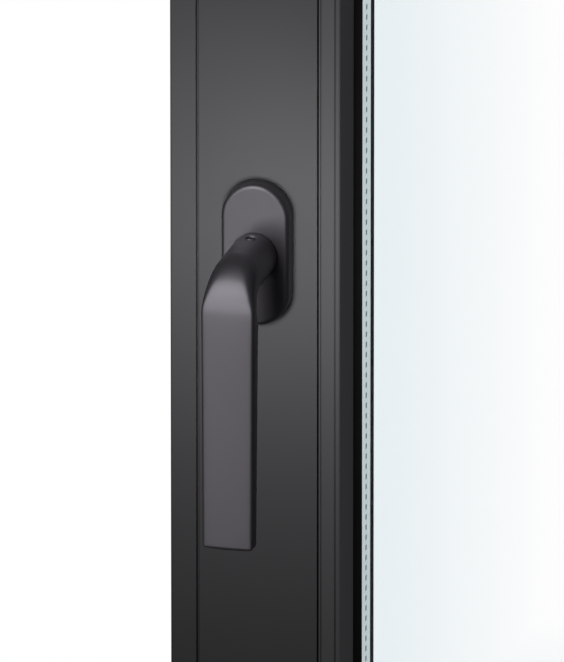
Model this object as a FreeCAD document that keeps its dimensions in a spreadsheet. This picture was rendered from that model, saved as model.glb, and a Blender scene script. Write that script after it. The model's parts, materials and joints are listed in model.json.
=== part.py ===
import FreeCAD, Part

import math
import os
import re

import Sketcher

# A tilt-and-turn window sash of thermally broken aluminium, with its lever handle, gearbox,
# drive rods, stay arm and lower hinge.
#
# The part's frame: +X to the right seen from the room, +Y towards the outdoors, +Z up. The
# origin is the mouth of the lower hinge's bore, on the axis that the sash turns about.
#
# Sizes are in millimetres. Most places are given in sash coordinates: x from the left edge of
# the sash, y from the room face of the main profile, z from the bottom edge. A profile's
# outline is given as (inset from the sash's outer edge, depth from the room face).

SIZES = {
    # the whole sash
    "sash_width": 520,
    "sash_height": 720,
    "wall": 2,
    # inner shell of the frame profile
    "lip_setback": 3,
    "lip_width": 12.75,
    "lip_thick": 6,
    "lip_round": 1.2,
    "shadow_gap": 1.8,
    "shadow_depth": 3,
    "face_round": 0.8,
    "overlap": 20,
    "rebate_base": 72.8,
    "inner_depth": 31,
    # channel in the lip's back for the stop gasket
    "stop_inset": 1.5,
    "stop_channel": 5.5,
    "stop_height": 4,
    # hardware groove round the sash's edge
    "groove_middle": 19.5,
    "groove_width": 16,
    "groove_step": 3,
    "channel_width": 12,
    "channel_base": 32,
    # thermal break and outer shell
    "break_depth": 21,
    "break_inset": 26,
    "break_thick": 2.2,
    "outer_inset": 24,
    "outer_depth": 20,
    "flange_reach": 13.2,
    "flange_slope": 10,
    "flange_nose": 6,
    # glazing bead
    "bead_gap": 0.6,
    "bead_setback": 0.3,
    "bead_depth": 20,
    "bead_rib": 0.8,
    "bead_groove": 0.7,
    "bead_face": 5.9,
    "bead_valley": 1.2,
    "bead_nose": 1.7,
    "bead_slant": 1.5,
    "bead_relief": 0.6,
    "bead_round": 1.2,
    # glazing
    "gasket_thick": 4,
    "gasket_foot": 6.6,
    "gasket_lip": 3.4,
    "pane_thick": 4,
    "cavity": 16,
    "glass_gap": 4.5,
    "sealant_height": 3.9,
    "spacer_height": 6.5,
    "spacer_wall": 0.5,
    "butyl_thick": 0.3,
    "block_length": 80,
    # corner cleats
    "cleat_leg": 60,
    "cleat_wall": 5,
    "cleat_gap": 0.2,
    # handle position and rosette
    "handle_inset": 44.6,
    "rosette_width": 33,
    "rosette_length": 70,
    "rosette_depth": 9,
    "rosette_wall": 1.5,
    "rosette_round": 2,
    "screw_spread": 21.5,
    "post_radius": 5,
    "post_length": 8,
    "base_gap": 0.3,
    "recess_radius": 13.5,
    "recess_depth": 4,
    "ball_ring": 11.4,
    "ball_radius": 1.4,
    "bush_wall": 1,
    # lever
    "neck_radius": 11.2,
    "neck_gap": 0.3,
    "shank_radius": 9,
    "lever_reach": 50.3,
    "lever_drop": 131,
    "grip_width": 25.8,
    "grip_end_width": 24.6,
    "grip_thick": 10,
    "grip_end_thick": 8.5,
    "grip_round": 2.4,
    "end_round": 1.6,
    "end_arc": 120,
    "bend_outer": 25,
    "bend_inner": 10,
    "spindle_side": 7,
    "spindle_gap": 0.1,
    "spindle_depth": 26,
    "grub_radius": 2.5,
    "grub_offset": 7.3,
    "grub_length": 6,
    # gearbox and drive
    "gear_module": 1.25,
    "pinion_teeth": 18,
    "pinion_width": 9,
    "hub_radius": 8,
    "rack_width": 8,
    "backlash": 0.2,
    "case_depth": 15,
    "case_wall": 2,
    "faceplate_thick": 2.5,
    "faceplate_gap": 0.1,
    "rod_thick": 3,
    "rod_width": 10,
    "rod_gap": 0.2,
    "rod_corner": 32,
    "cam_radius": 4.5,
    "cam_shank": 3.8,
    "cam_height": 8.3,
    "cam_margin": 95,
    "cam_top": 180,
    "cam_bottom": 160,
    "slot_gap": 0.3,
    "corner_leg": 75,
    "leaf_bend": 12,
    "leaf_thick": 1,
    "leaf_width": 9,
    "leaf_leg": 60,
    "screw_radius": 2,
    "screw_head": 3.8,
    "screw_length": 8,
    # hinges
    "hinge_out": 9,
    "hinge_front": 10,
    "hinge_rise": 18,
    "knuckle_radius": 7.5,
    "lower_knuckle": 40,
    "upper_knuckle": 42,
    "pin_radius": 4,
    "pin_depth": 32,
    "hinge_bush": 1.2,
    "plate_thick": 4,
    "bracket_length": 106,
    "cap_height": 4,
    "stay_length": 200,
    "stay_thick": 3.5,
    "stay_width": 12,
    "stay_gap": 0.9,
    "rivet_radius": 3,
    "running_gap": 0.05,
}

# Sizes that follow from the ones above; the sheet works them out.
DERIVED = {
    "handle_height": "sash_height / 2",
    "outer_flange": "rebate_base + flange_reach",
    "stroke": "pi * gear_module * pinion_teeth / 2",
    "case_half": "pi * gear_module * (pinion_teeth / 2 + 5)",
    "case_reach": "gear_module * (pinion_teeth / 2 + 1) + 4 * backlash + 0.8 * case_wall",
    "cam_spread": "sash_height / 2 - corner_leg - cam_margin",
}

# Places worked out from the sizes, as expressions.
LEFT = "-(sash_width + hinge_out)"
FACE = "hinge_front"
BOTTOM = "-hinge_rise"
BREAK_END = "(inner_depth + break_depth)"
SASH_DEPTH = f"({BREAK_END} + outer_depth)"
MAIN_EDGE = "(lip_width + shadow_gap)"
LIP_BACK = "(lip_setback + lip_thick)"
STEP = "(overlap + groove_step)"
GROOVE_LOW = "(groove_middle - groove_width / 2)"
GROOVE_HIGH = "(groove_middle + groove_width / 2)"
CHANNEL_LOW = "(groove_middle - channel_width / 2)"
CHANNEL_HIGH = "(groove_middle + channel_width / 2)"
BEAD_BACK = "(rebate_base + bead_gap)"
BEAD_FACE = f"({BEAD_BACK} + bead_rib + bead_groove)"
BEAD_VALLEY = f"({BEAD_FACE} + bead_face)"
BEAD_NOSE = f"({BEAD_VALLEY} + bead_valley)"
BEAD_EDGE = f"({BEAD_NOSE} + bead_nose)"
BEAD_FOOT = f"({BEAD_EDGE} + bead_slant)"
GLASS_FRONT = "(bead_depth + gasket_thick)"
CAVITY_FRONT = f"({GLASS_FRONT} + pane_thick)"
CAVITY_BACK = f"({CAVITY_FRONT} + cavity)"
GLASS_BACK = f"({CAVITY_BACK} + pane_thick)"
GLASS_EDGE = "(rebate_base + glass_gap)"
SPACER_LOW = f"({GLASS_EDGE} + sealant_height)"
SPACER_HIGH = f"({SPACER_LOW} + spacer_height)"
MITRE_REACH = "(outer_flange + gasket_foot)"
PITCH_RADIUS = "(gear_module * pinion_teeth / 2)"
PLATE_OUT = f"({STEP} - faceplate_thick)"
ROD_OUT = f"({STEP} + rod_gap)"
ROD_IN = f"({ROD_OUT} + rod_thick)"
ROD_LOW = "(groove_middle - rod_width / 2)"
CASE_FRONT = "(groove_middle - case_depth / 2)"
CASE_BACK = "(groove_middle + case_depth / 2)"
CASE_LID = f"({CASE_BACK} - case_wall)"
COVER_IN = "(rosette_depth - rosette_wall)"
GRUB_Y = "(-rosette_depth - grub_offset)"
BALLS = ("handle_inset - ball_ring", "handle_inset + ball_ring")
HINGE_X = "(sash_width + hinge_out)"
STAY_PIVOT = f"({HINGE_X} - stay_length)"

DOWN = FreeCAD.Rotation(FreeCAD.Vector(1, 0, 0), 180)

doc = FreeCAD.newDocument("window_sash")
sheet = doc.addObject("Spreadsheet::Sheet", "Sizes")
for row, (alias, number) in enumerate(SIZES.items(), 1):
    sheet.set(f"A{row}", alias.replace("_", " "))
    sheet.set(f"B{row}", str(number))
    sheet.setAlias(f"B{row}", alias)
for row, (alias, text) in enumerate(DERIVED.items(), len(SIZES) + 1):
    sheet.set(f"A{row}", alias.replace("_", " "))
    sheet.set(f"B{row}", "=" + text)
    sheet.setAlias(f"B{row}", alias)
doc.recompute()
ALIASES = set(SIZES) | set(DERIVED)

finished = []


def size(alias):
    """A driving dimension's number, read from the sheet."""
    return float(sheet.get(alias))


def bound(text):
    """An expression whose names refer to the sheet."""
    return re.sub(r"[a-z]\w*", lambda m: "Sizes." + m[0] if m[0] in ALIASES else m[0], text)


def bind(thing, **expressions):
    """Binds properties of an object to expressions."""
    for name, text in expressions.items():
        thing.setExpression(name.replace("__", "."), bound(str(text)))


def move(thing, x, y, z):
    bind(thing, Placement__Base__x=x, Placement__Base__y=y, Placement__Base__z=z)


def seat(thing, label, x="0", y="0", z="0"):
    """Names a sub-part and carries it from sash coordinates to the part's frame."""
    thing.Label = label
    move(thing, f"{x} + {LEFT}", f"{y} + {FACE}", f"{z} + {BOTTOM}")
    finished.append(thing)
    return thing


def box(x, y, z, wide, deep, tall):
    """A box from its low corner and its sides."""
    made = doc.addObject("Part::Box", "Box")
    bind(made, Length=wide, Width=deep, Height=tall)
    move(made, x, y, z)
    return made


def rod(axis, x, y, z, radius, length, end_radius=None):
    """A cylinder, or a cone, from the centre of one end, along an axis: X, Y or Z, or -Y."""
    made = doc.addObject("Part::Cylinder" if end_radius is None else "Part::Cone", "Rod")
    if end_radius is None:
        bind(made, Radius=radius, Height=length)
    else:
        bind(made, Radius1=radius, Radius2=end_radius, Height=length)
    turns = {
        "X": FreeCAD.Rotation(FreeCAD.Vector(0, 1, 0), 90),
        "-X": FreeCAD.Rotation(FreeCAD.Vector(0, 1, 0), -90),
        "Y": FreeCAD.Rotation(FreeCAD.Vector(1, 0, 0), -90),
        "-Y": FreeCAD.Rotation(FreeCAD.Vector(1, 0, 0), 90),
        "Z": FreeCAD.Rotation(),
        "-Z": DOWN,
    }
    made.Placement = FreeCAD.Placement(FreeCAD.Vector(), turns[axis])
    move(made, x, y, z)
    return made


def group(*parts):
    made = doc.addObject("Part::Compound", "Group")
    made.Links = list(parts)
    return made


def fuse(*parts):
    made = doc.addObject("Part::MultiFuse", "Fuse")
    made.Shapes = list(parts)
    made.Refine = True
    return made


def cut(base, *tools):
    made = doc.addObject("Part::Cut", "Cut")
    made.Base = base
    made.Tool = tools[0] if len(tools) == 1 else group(*tools)
    made.Refine = True
    return made


def feature(shape, name):
    """A shape made with Part's own functions, where no primitive or sketch fits."""
    made = doc.addObject("Part::Feature", name)
    made.Shape = shape
    return made


def plane(body, role):
    return next(f for f in body.Origin.OriginFeatures if f.Role == role)


def sketch(body, role, *outlines):
    """A sketch of closed outlines of straight lines, each corner held by two expressions."""
    made = body.newObject("Sketcher::SketchObject", "Outline")
    made.AttachmentSupport = (plane(body, role), [""])
    made.MapMode = "FlatFace"
    for corners in outlines:
        first, count = made.GeometryCount, len(corners)
        turns = [2 * math.pi * k / count for k in range(count)]
        spots = [FreeCAD.Vector(50 + 40 * math.cos(t), 50 + 40 * math.sin(t), 0) for t in turns]
        for k in range(count):
            made.addGeometry(Part.LineSegment(spots[k], spots[(k + 1) % count]), False)
        for k in range(count):
            made.addConstraint(Sketcher.Constraint("Coincident", first + k, 2, first + (k + 1) % count, 1))
        for k, corner in enumerate(corners):
            for way, text in zip(("DistanceX", "DistanceY"), corner):
                index = made.addConstraint(Sketcher.Constraint(way, -1, 1, first + k, 1, 1.0))
                made.setExpression(f"Constraints[{index}]", bound(text))
    return made


def swapped(outline):
    """(inset, depth) corners as a section in the YZ plane takes them."""
    return [(depth, inset) for inset, depth in outline]


def edges_through(shape, corner):
    """The names of the edges along X through a corner of the section."""
    found = []
    for number, edge in enumerate(shape.Edges, 1):
        ends = [v.Point for v in edge.Vertexes]
        if all(abs(p.y - corner.x) < 1e-4 and abs(p.z - corner.y) < 1e-4 for p in ends):
            found.append(f"Edge{number}")
    return found


def bar(outline, holes, length, rounds=()):
    """A mitred length of profile along X, its outer edge at z 0 and its inside above.
    rounds pairs a radius with the numbers of the outline's corners that it rounds."""
    body = doc.addObject("PartDesign::Body", "Bar")
    section = sketch(body, "YZ_Plane", swapped(outline), *[swapped(h) for h in holes])
    doc.recompute()
    last = body.newObject("PartDesign::Pad", "Pad")
    last.Profile = section
    bind(last, Length=length)
    doc.recompute()
    corners = [section.Geometry[k].StartPoint for k in range(len(outline))]
    for radius, numbers in rounds:
        smooth = body.newObject("PartDesign::Fillet", "Round")
        names = [n for k in numbers for n in edges_through(last.Shape, corners[k])]
        smooth.Base = (last, names)
        bind(smooth, Radius=radius)
        doc.recompute()
        last = smooth
    near = [("0", "0"), (MITRE_REACH, MITRE_REACH), ("0", MITRE_REACH)]
    far = [(length, "0"), (length, MITRE_REACH), (f"{length} - {MITRE_REACH}", MITRE_REACH)]
    mitres = sketch(body, "XZ_Plane", near, far)
    pocket = body.newObject("PartDesign::Pocket", "Mitres")
    pocket.Profile = mitres
    pocket.Type = "ThroughAll"
    pocket.Midplane = True
    doc.recompute()
    return body


SIDES = {
    "left": (90, "sash_height", "0", "sash_height"),
    "right": (-90, "sash_height", "sash_width", "0"),
    "top": (180, "sash_width", "sash_width", "sash_height"),
    "bottom": (0, "sash_width", "0", "0"),
}


def member(side, outline, holes, rounds=()):
    """One side of a mitred frame, turned into place. Returns it with its corner's x and z."""
    turn, length, x, z = SIDES[side]
    made = bar(outline, holes, length, rounds)
    made.Placement = FreeCAD.Placement(FreeCAD.Vector(), FreeCAD.Rotation(FreeCAD.Vector(0, 1, 0), turn))
    return made, x, z


def swept(outline):
    """A profile swept once round the sash with square corners, centred on x 0."""
    body = doc.addObject("PartDesign::Body", "Ring")
    section = sketch(body, "YZ_Plane", swapped(outline))
    half = "sash_width / 2"
    loop = [(f"-{half}", "0"), (half, "0"), (half, "sash_height"), (f"-{half}", "sash_height")]
    path = sketch(body, "XZ_Plane", loop)
    doc.recompute()
    pipe = body.newObject("PartDesign::AdditivePipe", "Sweep")
    pipe.Profile = section
    pipe.Spine = (path, ["Edge1", "Edge2", "Edge3", "Edge4"])
    pipe.Transition = "Right corner"
    doc.recompute()
    return body


def ring(label, outline, hollow=None):
    whole = swept(outline)
    if hollow:
        whole = cut(whole, swept(hollow))
    return seat(whole, label, x="sash_width / 2")


def rectangle(inset_low, depth_low, inset_high, depth_high):
    return [
        (inset_low, depth_low),
        (inset_high, depth_low),
        (inset_high, depth_high),
        (inset_low, depth_high),
    ]


# ---- frame profiles ----


def inner_outline():
    """Room-side shell: stepped lip, shadow gap, main face and the hardware groove."""
    channel_end = "stop_inset + stop_channel"
    channel_floor = f"{LIP_BACK} - stop_height"
    outline = [
        ("0", "lip_setback"),
        ("lip_width", "lip_setback"),
        ("lip_width", "lip_setback + shadow_depth"),
        (MAIN_EDGE, "lip_setback + shadow_depth"),
        (MAIN_EDGE, "0"),
        ("rebate_base", "0"),
        ("rebate_base", "inner_depth"),
        ("overlap", "inner_depth"),
        ("overlap", GROOVE_HIGH),
        (STEP, GROOVE_HIGH),
        (STEP, CHANNEL_HIGH),
        ("channel_base", CHANNEL_HIGH),
        ("channel_base", CHANNEL_LOW),
        (STEP, CHANNEL_LOW),
        (STEP, GROOVE_LOW),
        ("overlap", GROOVE_LOW),
        ("overlap", LIP_BACK),
        (channel_end, LIP_BACK),
        (channel_end, channel_floor),
        ("stop_inset", channel_floor),
        ("stop_inset", LIP_BACK),
        ("0", LIP_BACK),
    ]
    chamber = rectangle("channel_base + wall", "wall", "rebate_base - wall", "inner_depth - wall")
    rounds = [("lip_round", [0]), ("face_round", [4]), ("face_round / 2", [1, 5])]
    return outline, [chamber], rounds


def inner_shells():
    outline, holes, rounds = inner_outline()
    for side, kind in (("right", "stile"), ("top", "rail"), ("bottom", "rail")):
        made, x, z = member(side, outline, holes, rounds)
        seat(made, f"{side}_{kind}_inner", x=x, z=z)
    # the left stile is routed for the gearbox, and drilled for the handle
    made, x, z = member("left", outline, holes, rounds)
    move(made, x, "0", z)
    routed = box(
        STEP,
        GROOVE_LOW,
        "handle_height - case_half - 2 * wall",
        f"handle_inset + case_reach + 2 * wall - {STEP}",
        "groove_width",
        "2 * case_half + 4 * wall",
    )
    drilled = [drill("-wall", "2 * wall + 1", "hub_radius")]
    for height in screw_heights():
        drilled.append(drill("-wall", "2 * wall + 1", "post_radius + base_gap", height))
    seat(cut(made, routed, *drilled), "left_stile_inner")


def outer_shells():
    """Outdoor shell: a hollow box whose glazing flange slopes to shed water."""
    flange_base = "rebate_base + wall"
    outline = [
        ("outer_inset", BREAK_END),
        ("outer_flange", BREAK_END),
        ("outer_flange", f"{BREAK_END} + flange_nose"),
        ("outer_flange - flange_slope", SASH_DEPTH),
        ("outer_inset", SASH_DEPTH),
    ]
    chamber = rectangle(
        "outer_inset + wall", f"{BREAK_END} + wall", "rebate_base - wall", f"{SASH_DEPTH} - wall"
    )
    pocket = [
        (flange_base, f"{BREAK_END} + wall"),
        ("outer_flange - wall", f"{BREAK_END} + wall"),
        ("outer_flange - wall", f"{BREAK_END} + flange_nose - wall / 2"),
        (flange_base, f"{SASH_DEPTH} - 2 * wall"),
    ]
    for side, kind in (("left", "stile"), ("right", "stile"), ("top", "rail"), ("bottom", "rail")):
        made, x, z = member(side, outline, [chamber, pocket], [("face_round", [4])])
        seat(made, f"{side}_{kind}_outer", x=x, z=z)


def thermal_breaks():
    strips = []
    for inset in ("break_inset", "rebate_base - wall - break_thick"):
        for side in SIDES:
            outline = rectangle(inset, "inner_depth", f"{inset} + break_thick", BREAK_END)
            made, x, z = member(side, outline, [])
            move(made, x, "0", z)
            strips.append(made)
    seat(group(*strips), "thermal_breaks")


def cleats(label, low, high, front, back):
    """L-shaped corner blocks, one pushed into the chambers at each mitre, hollowed to a wall."""
    made = []
    depth = f"({back} - {front} - 2 * cleat_gap)"
    width = f"({high} - {low} - 2 * cleat_gap)"
    leg = f"({width} + cleat_leg)"
    y = f"({front} + cleat_gap)"
    wide, long, deep = f"{width} - 2 * cleat_wall", "cleat_leg - cleat_wall", f"{depth} + 2"

    def placed(total, far):
        """Starts of the corner, of its leg and of the leg's hollow along one direction."""
        if far:
            corner = f"({total} - {low} - cleat_gap - {width})"
            leg_start = f"({total} - {low} - cleat_gap - {leg})"
            return corner, leg_start, f"{leg_start} + cleat_wall"
        corner = f"({low} + cleat_gap)"
        return corner, corner, f"{corner} + {width}"

    for right in (False, True):
        x, leg_x, hollow_x = placed("sash_width", right)
        for top in (False, True):
            z, leg_z, hollow_z = placed("sash_height", top)
            solid = fuse(box(leg_x, y, z, leg, depth, width), box(x, y, leg_z, width, depth, leg))
            along_x = box(hollow_x, f"{y} - 1", f"{z} + cleat_wall", long, deep, wide)
            along_z = box(f"{x} + cleat_wall", f"{y} - 1", hollow_z, wide, deep, long)
            made.append(cut(solid, along_x, along_z))
    seat(group(*made), label)


# ---- glazing ----


def beads():
    """Clip-in glazing beads: a fine rib and groove, a flat face, a valley and a rounded nose."""
    low = "(bead_setback + bead_relief)"
    clip = ("bead_depth / 2", "bead_depth / 2 + bead_relief * 6")
    outline = [
        (BEAD_BACK, "bead_setback"),
        (f"{BEAD_BACK} + bead_rib", "bead_setback"),
        (f"{BEAD_BACK} + bead_rib", low),
        (BEAD_FACE, low),
        (BEAD_FACE, "bead_setback"),
        (BEAD_VALLEY, "bead_setback"),
        (f"{BEAD_VALLEY} + bead_valley / 2", low),
        (BEAD_NOSE, "bead_setback"),
        (BEAD_EDGE, "bead_setback"),
        (BEAD_FOOT, "bead_depth"),
        (BEAD_BACK, "bead_depth"),
        (BEAD_BACK, clip[1]),
        ("rebate_base", clip[1]),
        ("rebate_base", clip[0]),
        (BEAD_BACK, clip[0]),
    ]
    hollow = rectangle(f"{BEAD_BACK} + wall", f"{low} + wall", f"{BEAD_EDGE} - wall", "bead_depth - wall")
    rounds = [("bead_round", [8]), ("bead_setback", [0, 4])]
    for side in SIDES:
        made, x, z = member(side, outline, [hollow], rounds)
        seat(made, f"{side}_bead", x=x, z=z)


def gaskets():
    lip = f"{BEAD_FOOT} + gasket_lip"
    low = f"{BEAD_FOOT} - gasket_foot"
    ring(
        "inner_glazing_gasket",
        [
            (low, "bead_depth"),
            (f"{BEAD_FOOT} + bead_setback", "bead_depth"),
            (lip, f"{GLASS_FRONT} - gasket_thick / 5"),
            (lip, GLASS_FRONT),
            (low, GLASS_FRONT),
        ],
    )
    flange_lip = "outer_flange + gasket_lip * 2 / 3"
    ring(
        "outer_glazing_gasket",
        [
            (low, GLASS_BACK),
            (flange_lip, GLASS_BACK),
            (flange_lip, f"{GLASS_BACK} + gasket_thick / 4"),
            ("outer_flange", BREAK_END),
            (low, BREAK_END),
        ],
    )
    floor = f"({LIP_BACK} - stop_height)"
    wide = "(stop_inset + stop_channel)"
    bulb_top = f"({LIP_BACK} + stop_height)"
    ring(
        "stop_gasket",
        [
            ("stop_inset + faceplate_gap", f"{floor} + running_gap"),
            (f"{wide} - faceplate_gap", f"{floor} + running_gap"),
            (f"{wide} - faceplate_gap", f"{LIP_BACK} + running_gap"),
            (f"{wide} - stop_height / 4", f"{bulb_top} - stop_height / 4"),
            ("stop_inset + stop_channel / 2", bulb_top),
            ("stop_inset + faceplate_gap", f"{bulb_top} - stop_height / 3"),
        ],
        rectangle(
            "stop_inset + stop_channel / 4",
            f"{LIP_BACK} - stop_height / 8",
            "stop_inset + stop_channel * 0.6",
            f"{LIP_BACK} + stop_height / 2",
        ),
    )


def panes():
    wide = f"sash_width - 2 * {GLASS_EDGE}"
    tall = f"sash_height - 2 * {GLASS_EDGE}"
    for label, front in (("inner_pane", GLASS_FRONT), ("outer_pane", CAVITY_BACK)):
        sheet_of_glass = box(GLASS_EDGE, front, GLASS_EDGE, wide, "pane_thick", tall)
        seat(group(sheet_of_glass), label)


def glazing_edge():
    """What holds the two panes apart: spacer bar, desiccant, butyl and the outer sealant."""
    front, back = f"{CAVITY_FRONT} + butyl_thick", f"{CAVITY_BACK} - butyl_thick"
    inside = rectangle(
        f"{SPACER_LOW} + spacer_wall",
        f"{front} + spacer_wall",
        f"{SPACER_HIGH} - spacer_wall",
        f"{back} - spacer_wall",
    )
    ring("spacer_bar", rectangle(SPACER_LOW, front, SPACER_HIGH, back), inside)
    ring("desiccant_fill", inside)
    ring("edge_sealant", rectangle(GLASS_EDGE, CAVITY_FRONT, SPACER_LOW, CAVITY_BACK))
    butyl_top = f"{SPACER_HIGH} - 2 * spacer_wall"
    ring("inner_butyl", rectangle(SPACER_LOW, CAVITY_FRONT, butyl_top, front))
    ring("outer_butyl", rectangle(SPACER_LOW, back, butyl_top, CAVITY_BACK))


def glazing_blocks():
    """Plastic blocks that carry and centre the glass unit in the rebate."""
    y, depth = GLASS_FRONT, f"{GLASS_BACK} - {GLASS_FRONT}"
    blocks = []
    for x in (GLASS_EDGE, f"sash_width - {GLASS_EDGE} - block_length"):
        for z in ("rebate_base", f"sash_height - {GLASS_EDGE}"):
            blocks.append(box(x, y, z, "block_length", depth, "glass_gap"))
    for z in (GLASS_EDGE, f"sash_height - {GLASS_EDGE} - block_length"):
        for x in ("rebate_base", f"sash_width - {GLASS_EDGE}"):
            blocks.append(box(x, y, z, "glass_gap", depth, "block_length"))
    seat(group(*blocks), "glazing_blocks")


# ---- handle ----


def oval(width, length, front, back):
    """An upright oval plate centred on the spindle, from depth front to depth back."""
    width, straight = f"({width})", f"({length} - ({width}))"
    deep = f"{back} - ({front})"
    middle = box(
        f"handle_inset - {width} / 2", front, f"handle_height - {straight} / 2", width, deep, straight
    )
    ends = [
        rod("Y", "handle_inset", front, f"handle_height {way} {straight} / 2", f"{width} / 2", deep)
        for way in ("+", "-")
    ]
    return fuse(middle, *ends)


def drill(y, length, radius, height="handle_height"):
    """A round tool towards the outdoors at the handle's inset, from depth y."""
    return rod("Y", "handle_inset", y, height, radius, length)


def screw_heights():
    return [f"handle_height {way} screw_spread" for way in ("+", "-")]


def spindle_hole(y, length, side):
    side = f"({side})"
    return box(f"handle_inset - {side} / 2", y, f"handle_height - {side} / 2", side, length, side)


def rosette_cover():
    """Snap-on oval cover, open at the back, with a pry hole in the top of its rim."""
    blank = oval("rosette_width", "rosette_length", "-rosette_depth", "0")
    doc.recompute()
    rim = [
        (n, size("rosette_round"), size("rosette_round"))
        for n, edge in enumerate(blank.Shape.Edges, 1)
        if all(abs(v.Point.y + size("rosette_depth")) < 1e-4 for v in edge.Vertexes)
    ]
    smooth = doc.addObject("Part::Fillet", "Rim")
    smooth.Base = blank
    smooth.Edges = rim
    inside = [f"rosette_{way} - 2 * rosette_wall" for way in ("width", "length")]
    hollow = oval(*inside, f"-{COVER_IN}", "rosette_wall")
    hole = drill("-2 * rosette_depth", "2 * rosette_depth", "neck_radius + neck_gap")
    pry = rod(
        "Z",
        "handle_inset",
        "-rosette_depth / 2",
        "handle_height + rosette_length / 2 - 2 * rosette_wall",
        "rosette_wall / 3",
        "3 * rosette_wall",
    )
    seat(cut(smooth, hollow, hole, pry), "rosette_cover")


def rosette_base():
    """Fixed plate under the cover: two posts reach through the stile, and a recess at the
    back holds the click disc."""
    inset = "(2 * rosette_wall + 2 * base_gap)"
    front = f"-{COVER_IN} + neck_gap / 3"
    solids = [oval(f"rosette_width - {inset}", f"rosette_length - {inset}", front, "0")]
    tools = [
        drill("-rosette_depth", "2 * rosette_depth", "shank_radius + running_gap + bush_wall"),
        drill("-recess_depth", "2 * recess_depth", "recess_radius"),
    ]
    for height in screw_heights():
        solids.append(drill("-wall", "post_length + wall", "post_radius", height))
        tools.append(drill("-rosette_depth", "3 * rosette_depth", "grub_radius + base_gap", height))
        tools.append(drill("-rosette_depth", "rosette_depth / 2 + 0.4", "2 * grub_radius + base_gap", height))
    pocket_start = "-recess_depth - ball_radius * 2"
    pocket_radius = "ball_radius + running_gap"
    for x in BALLS:
        tools.append(rod("Y", x, pocket_start, "handle_height", pocket_radius, "ball_radius * 3"))
    seat(cut(fuse(*solids), *tools), "rosette_base")


def neck_bush():
    """Plain bearing between the lever's shank and the rosette base."""
    length = f"{COVER_IN} - neck_gap / 3 - recess_depth"
    outside = drill(f"-{COVER_IN} + neck_gap / 3", length, "shank_radius + running_gap + bush_wall")
    inside = drill("-rosette_depth", "2 * rosette_depth", "shank_radius + running_gap")
    seat(cut(outside, inside), "neck_bush")


def clicks():
    """Two sprung balls that drop into the click disc at each quarter turn."""
    disc_face = "recess_depth / 3"
    balls, springs = [], []
    for x in BALLS:
        ball = doc.addObject("Part::Sphere", "Ball")
        bind(ball, Radius="ball_radius")
        move(ball, x, f"-{disc_face} - running_gap - ball_radius", "handle_height")
        balls.append(ball)
        back = f"-recess_depth - ball_radius * 2 + {disc_face} / 10"
        length = f"{disc_face} * 0.8"
        coil = rod("Y", x, back, "handle_height", "ball_radius * 0.85", length)
        core = rod("Y", x, f"{back} - 1", "handle_height", "ball_radius * 0.55", f"{length} + 2")
        springs.append(cut(coil, core))
    seat(group(*balls), "click_balls")
    seat(group(*springs), "click_springs")
    disc = drill(f"-{disc_face}", f"{disc_face} * 0.6", "recess_radius - base_gap")
    dimples = []
    for quarter in range(4):
        x = f"handle_inset + ball_ring * {round(math.cos(quarter * math.pi / 2))}"
        z = f"handle_height + ball_ring * {round(math.sin(quarter * math.pi / 2))}"
        dimples.append(rod("Y", x, f"-{disc_face} - 1", z, "ball_radius / 2", f"1 + {disc_face} / 4"))
    hole = spindle_hole("-recess_depth", "2 * recess_depth", "spindle_side + spindle_gap")
    seat(cut(disc, hole, *dimples), "click_disc")


def lever_section(front, back, width, corner):
    """A rounded rectangle through a front and a back point, as wide as width along X."""
    middle = (front + back) / 2
    up = front - back
    half_up, half_wide = up.Length / 2, width / 2
    up.normalize()
    across = FreeCAD.Vector(1, 0, 0)
    slant = corner * (1 - math.sqrt(0.5))

    def at(x, u):
        return middle + across * x + up * u

    edges = []
    quadrants = ((1, 1), (-1, 1), (-1, -1), (1, -1))
    for k, (sx, su) in enumerate(quadrants):
        side = at(sx * half_wide, su * (half_up - corner))
        top = at(sx * (half_wide - corner), su * half_up)
        knee = at(sx * (half_wide - slant), su * (half_up - slant))
        ends = (side, knee, top) if k % 2 == 0 else (top, knee, side)
        edges.append(Part.Arc(*ends).toShape())
        nx, nu = quadrants[(k + 1) % 4]
        if k % 2 == 0:
            stop = at(nx * (half_wide - corner), nu * half_up)
        else:
            stop = at(nx * half_wide, nu * (half_up - corner))
        edges.append(Part.LineSegment(ends[2], stop).toShape())
    return Part.Wire(edges)


def round_section(centre, radius):
    """A circle in the XZ plane, in eight arcs that match a rounded rectangle's eight edges."""
    share = math.radians(6)
    turns = []
    for quarter in range(4):
        turns += [quarter * math.pi / 2 + share, (quarter + 1) * math.pi / 2 - share]

    def at(turn):
        return centre + FreeCAD.Vector(radius * math.cos(turn), 0, radius * math.sin(turn))

    edges = []
    for start, end in zip(turns, turns[1:] + [turns[0] + 2 * math.pi]):
        edges.append(Part.Arc(at(start), at((start + end) / 2), at(end)).toShape())
    return Part.Wire(edges)


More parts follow.
